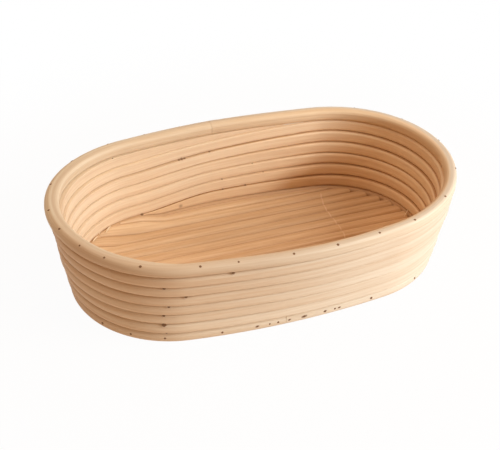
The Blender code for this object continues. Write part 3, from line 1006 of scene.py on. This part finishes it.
# A painted highlight on the right of the outer flank.
right_flank_highlight = work_out(tree, "MULTIPLY", fade(tree, outward, *FLANK_HIGHLIGHT_FADE),
                       fade_along(tree, object_place(tree), RIGHTWARD, -20, 60))
tree.links.new(tinted(tree, right_flank_highlight, toned, FLANK_HIGHLIGHT), shader.inputs["Base Color"])
print("rim finish: creases below, paler on its right flank")

# %% [markdown]
# The hoop is bent as the ring is. Its section is squarer inside than outside, but along the front
# and the right end it is slimmer and rounder inside, and at the right of the front it is flatter
# outside. It also strays from the oval: out at the back left corner, and in at the right of the
# back.

# %% Rim hoop
RIM_HALF_HEIGHT = 3.9 * MM
RIM_BOTTOM = COIL_BASE + STACK
RIM_HEIGHT = RIM_BOTTOM + RIM_HALF_HEIGHT
RIM_OFFSET = wall_offset(RIM_BOTTOM - 4.28 * MM) + 1.2 * MM
RIM_INNER_SHARE = 1.13
RIM_SLIMMING = 0.33
RIM_INNER_POWERS = (4.0, 2.1)
RIM_OUTER_POWERS = (2.3, 4.3)
RIM_JOINT = -4.5 * MM
RIM_SLIT = 0.2 * MM
RIM_STATIONS = 190
RIM_SIDES = 28
RIM_GRAIN = 9.0
SLIM_LEFT = (100 * MM, 35 * MM)
SLIM_RIGHT = (190 * MM, 60 * MM)
FRONT_FADE = 80 * MM
RIM_CORNER = (2.0, 190, 60)
RIM_DENT = (1.6, -252, 80)


def slimness(distance):
    """How far the rim is slimmer inside: from the left of the front to the right end."""
    leftward = from_front(distance)
    fading_in = eased((SLIM_LEFT[0] - leftward) / SLIM_LEFT[1])
    return fading_in * eased((SLIM_RIGHT[0] + leftward) / SLIM_RIGHT[1])


def rim_powers(distance):
    """Corners of the rim's section on its inner and outer side."""
    frontness = eased(0.5 - oval_point(distance)[0].y / FRONT_FADE)
    return (between(RIM_INNER_POWERS, slimness(distance)),
            between(RIM_OUTER_POWERS, flatness(distance) * frontness))


def rim_section(distance):
    """Section of the rim hoop at a distance round the oval."""
    offset = RIM_OFFSET + uneven(distance, RIM_BOTTOM) + 0.5 * wander(distance, 0.4)
    offset += hump(distance, *RIM_CORNER) - hump(distance, *RIM_DENT)
    point, normal = oval_point(distance, offset)
    return point + UP * RIM_HEIGHT, normal, RIM_HALF_WIDTH, RIM_HALF_HEIGHT


rim = straight_cane(RIM_JOINT + RIM_SLIT / 2, LOOP - RIM_SLIT, RIM_STATIONS, RIM_SIDES,
                    rim_powers, RIM_HALF_WIDTH, RIM_GRAIN)
for vert in rim.verts:
    if vert.co.y < 0.0:
        vert.co.y *= RIM_INNER_SHARE - RIM_SLIMMING * slimness(vert.co.x)
wind(rim, rim_section)
hoop = finish_piece("bent_rim", rim, rim_finish, ["rim_hoop"])
print(f"bent_rim: {triangles(hoop)} triangles")

# %% [markdown]
# A pale scuffed line crosses the floor near its right end. It could be a thin mesh on top, but it
# is only colour, so the finish works out how far a point lies from a slanted, winding line, and
# noise breaks the line up.

# %% Finish of the floor: scuffed line
SCUFF_MIDDLE = 62.5 * MM
SCUFF_SLANT = 0.112
SCUFF_SWING = 1.8 * MM
SCUFF_WAVE = (-95.0, 1.6)
SCUFF_WIDTH = (0.2 * MM, 0.6 * MM)
SCUFF_BACK = (47 * MM, 50 * MM)

floor_finish, tree, shader, group = cane_material(
    "floor cane", CANE_RADIUS, (0.83, 0.62, 0.40), (0.56, 0.325, 0.16), ("Beside",),
    crease=(0.36, 0.17, 0.07))
# The floor's crease colour and depth are painted shade between neighbouring canes.
group.inputs["Crease Depth"].default_value = 0.65
group.inputs["Crease Start"].default_value = 0.88
spot = object_place(tree)
place = put(tree, "SeparateXYZ", {0: spot}).outputs
slanted = work_out(tree, "MULTIPLY_ADD", place["Y"], SCUFF_SLANT, SCUFF_MIDDLE)
swing = work_out(tree, "SINE", work_out(tree, "MULTIPLY_ADD", place["Y"], *SCUFF_WAVE))
winding = work_out(tree, "MULTIPLY_ADD", swing, SCUFF_SWING, slanted)
off_line = work_out(tree, "ABSOLUTE", work_out(tree, "SUBTRACT", place["X"], winding))
broken = stretched_noise(tree, spot, (0.0, 130.0, 0.0), 1.0)
strength = fade(tree, broken, 0.0, 1.0, 0.25, 0.65)
line = fade(tree, off_line, *SCUFF_WIDTH, strength, 0.0)
scuff = work_out(tree, "MULTIPLY", line, fade(tree, place["Y"], *SCUFF_BACK, 1.0, 0.0))
print(f"scuffed line: {SCUFF_MIDDLE / MM:.1f} mm right of the middle")

# %% [markdown]
# The floor is paler at its left end and darker from there to the right, a painted shade where the
# right wall shades it, paler at the back left, and paler along the front, a painted light where the
# front wall shades it. The fades along directions serve here too.
# The cut ends show paler pith, which the finish finds by the way that the surface faces.

# %% Finish of the floor: colour
# Darker from the left end towards the middle: a painted shade. Paler along the front: a painted
# light.
FLOOR_SHADE_TINTS = ((1.03, 1.06, 1.08), (0.93, 0.92, 0.90))
BACK_LEFT_PATCH = ((BACKWARD, 44, 58), (RIGHTWARD, 45, 5))
BACK_LEFT_TINT = (1.14, 1.21, 1.29)
FRONT_LIGHT_TINT = (1.13, 1.13, 1.13)
SCUFF_COLOUR = (0.88, 0.70, 0.50)
PITH_COLOUR = (0.78, 0.60, 0.40)

light_and_shade = blended(tree, fade_along(tree, spot, RIGHTWARD, -95, -10), *FLOOR_SHADE_TINTS)
body = tinted(tree, 1.0, group.outputs["Color"], light_and_shade)
pale = tinted(tree, overlap(tree, spot, BACK_LEFT_PATCH), body, BACK_LEFT_TINT)
front_lit = tinted(tree, fade_along(tree, spot, FORWARD, -22, -8), pale, FRONT_LIGHT_TINT)
scuffed = blended(tree, scuff, front_lit, SCUFF_COLOUR)
facing = put(tree, "SeparateXYZ", {0: put(tree, "TexCoord").outputs["Normal"]}).outputs["X"]
cut_end = fade(tree, work_out(tree, "ABSOLUTE", facing), 0.75, 0.95)
tree.links.new(blended(tree, cut_end, scuffed, PITH_COLOUR), shader.inputs["Base Color"])
print("floor finish: grain, scuffed line and pale cut ends")

# %% [markdown]
# The floor canes lie side by side, cut off nearly square, so small dark corners stay open between
# their ends and the round wall. To cut them, two helpers give the oval's half length and half
# width at any place.
# At the back left, the coil's first tip lifts the wall, and the tops of the floor canes turn up to
# meet it.

# %% Helpers that fit a floor cane to the oval
FLOOR_INSET = 4.3 * MM
TURN_UP_REACH = 14 * MM
TURN_UP_PUSH = 0.7


def oval_reach(across, inset):
    """Half length of the oval, set in by inset, at a distance across its middle line."""
    if across < (END_RADIUS - inset) * math.sin(JOINT):
        return REACH + math.sqrt((END_RADIUS - inset) ** 2 - across ** 2)
    return math.sqrt(max((SIDE_RADIUS - inset) ** 2 - (across + DROP) ** 2, 0.0))


def side_reach(along, inset):
    """Half width of the oval, set in by inset, at a distance along its middle line."""
    if along < REACH + (END_RADIUS - inset) * math.cos(JOINT):
        return math.sqrt((SIDE_RADIUS - inset) ** 2 - along ** 2) - DROP
    return math.sqrt(max((END_RADIUS - inset) ** 2 - (along - REACH) ** 2, 0.0))


def turn_up(place):
    """Lift a point of a floor cane near the back left, where the coil's start raises the wall."""
    from_end = Vector((place.x + REACH, place.y, 0.0))
    angle = math.atan2(from_end.y, -from_end.x)
    if place.x > 0.0 or angle < -JOINT:
        return place
    if angle < JOINT:
        distance = 0.75 * LOOP + END_RADIUS * angle
        inside = END_RADIUS - FLOOR_INSET - from_end.length
        push = from_end.normalized()
    else:
        distance = LOOP + SIDE_RADIUS * math.atan2(place.x, place.y + DROP)
        inside = side_reach(abs(place.x), FLOOR_INSET) - place.y
        push = Vector(BACKWARD)
    lift = stack_at((distance - COIL_START) % LOOP)[0] * eased(1.0 - inside / TURN_UP_REACH)
    return place + UP * lift + push * (TURN_UP_PUSH * lift)


print(f"floor: {2 * oval_reach(0.0, FLOOR_INSET) / MM:.1f} mm long inside the ring")

# %% [markdown]
# Each cane is a little different in height and length, as a saw and a hand leave it, so random
# numbers with a fixed start are drawn for them. The ends on the left are cut closer to the wall
# than those on the right. The two outermost canes are pared on their outer side to fit the ring.

# %% Floor canes
ROD_COUNT = 15
ROD_PITCH = 8.25 * MM
ROD_HALF_WIDTH = ROD_PITCH / 2 - 0.03 * MM
ROD_STATIONS = 24
ROD_SIDES = 24
ROD_POWERS = (3.4, 3.4)
ROD_GRAIN = (11.0, 0.9)
SIDE_INSET = 3.9 * MM
LEFT_CUT = (3.6, 4.2)
RIGHT_CUT = (-0.5, 2.0)
OUTERMOST_CUT = 1.2 * MM
SINK = (0.0, 0.12)
SAW_STRETCH = 6 * MM
SAW_WANDER = (-0.25, 0.25)
GROUND_GAP = 0.02 * MM
luck = random.Random(11)

for index in range(ROD_COUNT):
    across = (index - (ROD_COUNT - 1) / 2) * ROD_PITCH
    outward = -1.0 if across < 0 else 1.0
    inner_edge = max(0.0, abs(across) - ROD_HALF_WIDTH)
    outermost = index in (0, ROD_COUNT - 1)
    half = oval_reach(inner_edge + (OUTERMOST_CUT if outermost else 0.0), FLOOR_INSET)
    caps = {}
    for side, cut in ((-1, LEFT_CUT), (1, RIGHT_CUT)):
        caps[side] = oval_reach(max(0.0, abs(across) - luck.uniform(*cut) * MM), FLOOR_INSET)
    height = THICK / 2 - luck.uniform(*SINK) * MM
    rod = straight_cane(-half, 2 * half, ROD_STATIONS, ROD_SIDES, ROD_POWERS, CANE_RADIUS,
                        ROD_GRAIN[0] + ROD_GRAIN[1] * index)
    for vert in rod.verts:
        side = 1 if vert.co.x > 0 else -1
        if outermost:
            room = min(abs(across) + ROD_HALF_WIDTH, side_reach(abs(vert.co.x), SIDE_INSET))
            share = (outward * vert.co.y + 1.0) / 2
            vert.co.y = outward * (inner_edge + share * (room - inner_edge))
        else:
            beside = abs(across + vert.co.y * ROD_HALF_WIDTH)
            vert.co.x *= min(oval_reach(beside, FLOOR_INSET), caps[side]) / half
            vert.co.y = across + vert.co.y * ROD_HALF_WIDTH
        if abs(vert.co.x) > half - SAW_STRETCH:
            vert.co.x -= side * luck.uniform(*SAW_WANDER) * MM
        top = vert.co.z > 0.0
        vert.co.z = height + vert.co.z * (height - GROUND_GAP)
        if top:
            vert.co = turn_up(vert.co)
    number = f"{index + 1:02d}"
    finish_piece(f"floor_cane_{number}", rod, floor_finish, [f"floor_rod_{number}"])
print(f"floor: {ROD_COUNT} canes, {ROD_PITCH / MM:.2f} mm apart")

# %% [markdown]
# Where the canes were sawn off, a few pale fibres have come loose. Each is a thin cane again, laid
# on a bowed line between two points, and thin at both ends. A row holds both points and the
# fibre's half thickness in millimetres.

# %% Loose fibres
FIBRES = (((110.8, 3.5, 8.1), (120.1, 11.8, 9.6), 0.28),
          ((-99.0, 41.5, 10.4), (-94.0, 45.5, 11.4), 0.4),
          ((-92.5, 48.0, 11.0), (-91.0, 50.5, 11.9), 0.3),
          ((-88.0, 48.5, 10.5), (-83.0, 53.5, 12.0), 0.45))
FIBRE_BOW = 0.08
FIBRE_TIP = 0.3

fibre_finish = cane_material(
    "loose fibre", 0.4 * MM, (0.93, 0.80, 0.60), (0.85, 0.68, 0.46), ())[0]
for number, (start, end, thick) in enumerate(FIBRES, 1):
    start, end = Vector(start) * MM, Vector(end) * MM
    bow = UP * (FIBRE_BOW * (end - start).length)
    aside = (end - start).cross(UP).normalized()
    strand = straight_cane(0.0, 1.0, 10, 8, (2.0, 2.0), thick * MM)
    for vert in strand.verts:
        swell = math.sin(math.pi * vert.co.x)
        girth = thick * MM * (FIBRE_TIP + (1.0 - FIBRE_TIP) * swell)
        round_it = aside * (vert.co.y * girth) + UP * (vert.co.z * girth)
        vert.co = start.lerp(end, vert.co.x) + bow * swell + round_it
    finish_piece(f"loose_fibre_{number:02d}", strand, fibre_finish, [])
print(f"loose fibres: {len(FIBRES)}")

# %% [markdown]
# The nails are small tacks of dark steel, and two bright wires string the floor canes together.
# Plain colours would look like plastic, so a fine noise makes the skin of the steel uneven. The
# wires are hidden, so their CAD nodes stay and only get the finish.

# %% Finish of the nails and the floor pins
def steel_material(name, dark, light, metallic, roughness):
    """Steel with an uneven skin."""
    material = bpy.data.materials.new(name)
    material.use_nodes = True
    tree = material.node_tree
    shader = tree.nodes["Principled BSDF"]
    shader.inputs["Metallic"].default_value = metallic
    noise = put(tree, "TexNoise", {"Vector": object_place(tree), "Scale": 900.0,
                                   "Detail": 3.0}).outputs[0]
    dull = fade(tree, noise, 0.0, 1.0, roughness, roughness + 0.25)
    bump = put(tree, "Bump", {"Strength": 0.3, "Distance": 0.05 * MM, "Height": noise})
    tree.links.new(blended(tree, noise, dark, light), shader.inputs["Base Color"])
    tree.links.new(dull, shader.inputs["Roughness"])
    tree.links.new(bump.outputs["Normal"], shader.inputs["Normal"])
    return material


nail_finish = steel_material("dark nail steel", (0.11, 0.052, 0.022), (0.30, 0.16, 0.07), 0.1, 0.65)
pin_finish = steel_material("pin steel", (0.40, 0.39, 0.37), (0.55, 0.54, 0.52), 1.0, 0.3)
for number in (1, 2):
    frame["nodes"][f"floor_pin_{number:02d}"].data.materials[0] = pin_finish
print("steel: nails and pins")

# %% [markdown]
# A tack has a low round head on a thin pointed shank. It is a turned shape, so half of its outline
# is spun about its axis. Each stands where its CAD nail stands, and its head lies on the round
# cane.

# %% Helpers that make a tack and drive it in
TACK_LENGTH = 11.0 * MM
TACK_POINT = 1.5 * MM
TACK_SIDES = 10


def tack(head, length):
    """A tack turned about Z, with its head's rim at Z = 0 and its point down."""
    shape = bmesh.new()
    outline = ((0.0, 0.14 * head), (0.6 * head, 0.10 * head), (0.95 * head, -0.05 * head),
               (1.0 * head, -0.3 * head), (0.55 * MM, -0.4 * head),
               (0.5 * MM, TACK_POINT - length), (0.0, -length))
    corners = [shape.verts.new((radius, 0.0, height)) for radius, height in outline]
    edges = [shape.edges.new(pair) for pair in zip(corners, corners[1:])]
    bmesh.ops.spin(shape, geom=corners + edges, cent=(0.0, 0.0, 0.0), axis=UP, angle=2 * math.pi,
                   steps=TACK_SIDES, use_merge=True)
    bmesh.ops.remove_doubles(shape, verts=shape.verts, dist=0.01 * MM)
    return shape


def drive_tack(name, head, place, direction, nodes, length=TACK_LENGTH):
    """Put a tack at a place, pointing along a direction."""
    shape = tack(head, length)
    facing = direction.to_track_quat("-Z", "Y").to_matrix().to_4x4()
    bmesh.ops.transform(shape, matrix=Matrix.Translation(place) @ facing, verts=shape.verts)
    return finish_piece(name, shape, nail_finish, nodes)


print(f"tack: {TACK_LENGTH / MM:.1f} mm long")

# %% [markdown]
# The rim is nailed through its outer shoulder into the top turn of the wall. The places of the
# nails on the front are read from the original, in thousandths of the loop, and the hidden back
# shares out the rest evenly.

# %% Rim nails
RIM_NAIL_SPOTS = (-165, -120, -81, -36, 8, 61, 97, 146, 178, 205, 235, 264, 302)
BACK_RIM_NAILS = 4
FRONT_RISE = math.radians(60.0)
BACK_RISE = math.radians(46.0)
RIM_HEADS = (0.7, 1.0)


def spread_distances(start, end, count):
    """Distances of nails that share out a stretch of the loop."""
    gap = (end - start) / (count + 1)
    return [start + gap * (number + 1) for number in range(count)]


front = [front_distance(spot) for spot in RIM_NAIL_SPOTS]
right = spread_distances(COIL_START + TAPER_END + 2.4 * MM, min(front), BACK_RIM_NAILS)
left = spread_distances(max(front), COIL_START + TAPER_END / 2 + LOOP, BACK_RIM_NAILS)
for number, distance in enumerate(right + front + left, 1):
    along = (distance - COIL_START) % LOOP
    low, high = course_heights(len(stack_at(along)[1]) - 1, along)
    middle = (low + high) / 2
    under, _normal = oval_point(distance, wall_offset(middle) + uneven(distance, low))
    centre, normal, half_width, half_height = rim_section(distance)
    rim_angle = FRONT_RISE if distance in front else BACK_RISE
    reach = fill_out(rim_angle, rim_powers(distance))
    place = centre + normal * (half_width * reach * math.cos(rim_angle))
    place += UP * (half_height * reach * math.sin(rim_angle))
    direction = (under + UP * middle - place).normalized()
    head = luck.uniform(*RIM_HEADS) * MM
    drive_tack(f"rim_tack_{number:02d}", head, place, direction, [f"rim_nail_{number:02d}"])
print(f"rim nails: {number}")

# %% [markdown]
# The base ring is nailed straight in from outside, into the ends and sides of the floor canes.

# %% Ring nails
RING_NAIL_SPOTS = (-146, -89, -52, -47, -36, -13, 3, 15, 24, 37, 73, 129, 162, 194)
BACK_RING_NAILS = 4
RING_HEADS = (0.7, 0.95)

front = [front_distance(spot) for spot in RING_NAIL_SPOTS]
back = spread_distances(max(front), min(front) + LOOP, BACK_RING_NAILS)
for number, distance in enumerate(front + back, 1):
    centre, normal, half_width, _half_height = ring_section(distance)
    place = centre + normal * half_width
    head = luck.uniform(*RING_HEADS) * MM
    drive_tack(f"ring_tack_{number:02d}", head, place, -normal, [f"ring_nail_{number:02d}"])
print(f"ring nails: {number}")

# %% [markdown]
# A row of tacks also sits in the grooves of the wall at the front left, one above the other, each
# holding a turn to the one below. They are small, so they are only in this visual model. A row
# holds the distance from the middle of the back, the loop under the groove and the head's size.
# The seventh holds the lowest turn to the ring.

# %% Tacks in the grooves of the wall
TURN_TACK_LENGTH = 5.5 * MM
TURN_TACKS = ((350, 5, 0.9), (388, 4, 1.0), (377, 3, 1.0), (386, 2, 0.9), (389, 1, 0.85),
              (389, 0, 1.45))
HEAD_INSET = (2.7, 0.75)
LOWEST_PLACE = 388 * MM
LOWEST_INSET = 3.4 * MM
LOWEST_HEAD = 0.9 * MM

for number, (distance, loop, head) in enumerate(TURN_TACKS, 1):
    place = groove_point(distance * MM, loop, 1, (HEAD_INSET[0] + HEAD_INSET[1] * head) * MM)
    _point, normal = oval_point(distance * MM)
    drive_tack(f"turn_tack_{number:02d}", head * MM, place, -normal, [], TURN_TACK_LENGTH)
point, normal = oval_point(LOWEST_PLACE, LOWEST_INSET)
drive_tack("turn_tack_07", LOWEST_HEAD, point + UP * COURSE, -normal, [], TURN_TACK_LENGTH)
print(f"turn tacks: {len(TURN_TACKS) + 1}")

# %% [markdown]
# Both boxes are printed, the CAD model's at the start and the visual model's here. The visual
# model may not outgrow the CAD model.

# %% Box of the visual model
visual_low, visual_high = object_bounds()
grown = [round((high - low) / MM, 1) for low, high in zip(visual_low, visual_high)]
print(f"visual box: {grown} mm")
